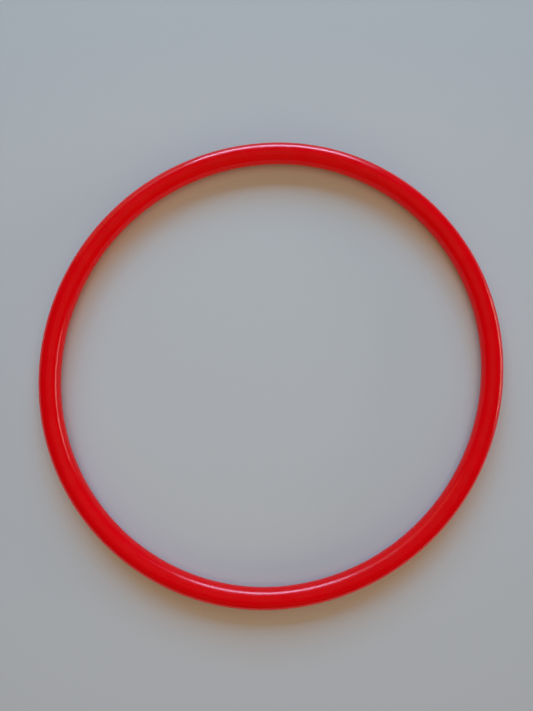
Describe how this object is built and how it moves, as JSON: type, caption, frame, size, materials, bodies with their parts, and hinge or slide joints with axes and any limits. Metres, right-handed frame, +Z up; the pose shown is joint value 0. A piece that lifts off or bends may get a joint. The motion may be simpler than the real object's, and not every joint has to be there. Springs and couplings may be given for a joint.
{
  "type": "hand hoop",
  "caption": "Small round gymnastics or toss hoop: one length of thin glossy plastic tube bent into a ring and closed by a hidden, pinned butt joint.",
  "frame": {"origin": "middle of the ring, on the tube's mid-plane", "axes": "+Z up out of the ring's plane when it lies flat, +X along the ring's long axis (it is slightly out of round), +Y from the middle to the butt joint"},
  "size_m": [0.1522, 0.1478, 0.0068],
  "materials": {
    "hoop_plastic": "glossy opaque red polyethylene tube, coloured right through",
    "plug_plastic": "natural off-white moulded polypropylene",
    "pin_steel": "drawn and headed bright steel wire"
  },
  "bodies": {
    "root": {"hoop_tube": "hoop_plastic", "joint_plug": "plug_plastic", "joint_pin_1": "pin_steel", "joint_pin_2": "pin_steel", "joint_pin_3": "pin_steel", "joint_pin_4": "pin_steel"}
  },
  "joints": []
}
